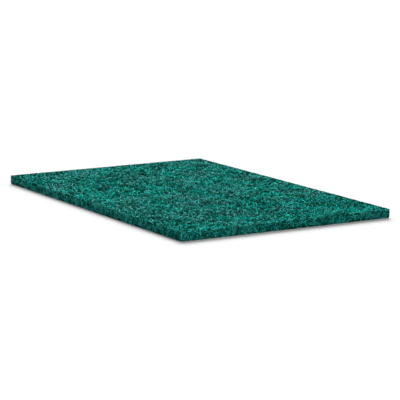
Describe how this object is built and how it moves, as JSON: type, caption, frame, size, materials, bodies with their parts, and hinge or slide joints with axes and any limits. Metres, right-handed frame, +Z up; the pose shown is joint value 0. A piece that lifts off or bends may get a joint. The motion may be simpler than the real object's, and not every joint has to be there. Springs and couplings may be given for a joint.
{
  "type": "scouring pad",
  "caption": "Flat rectangular scouring pad of open, springy nonwoven nylon web, die-cut square at its edges, for use by hand or under a pad holder.",
  "frame": {"origin": "middle of the face that the pad lies on", "axes": "+X along the long side, +Y along the short side, +Z up through the thickness"},
  "size_m": [0.2286, 0.1524, 0.006],
  "materials": {
    "web": "open web of crimped nylon fibres, bonded and coated with blue-green resin and fine abrasive grain"
  },
  "bodies": {
    "root": {"scouring_pad": "web"}
  },
  "joints": []
}
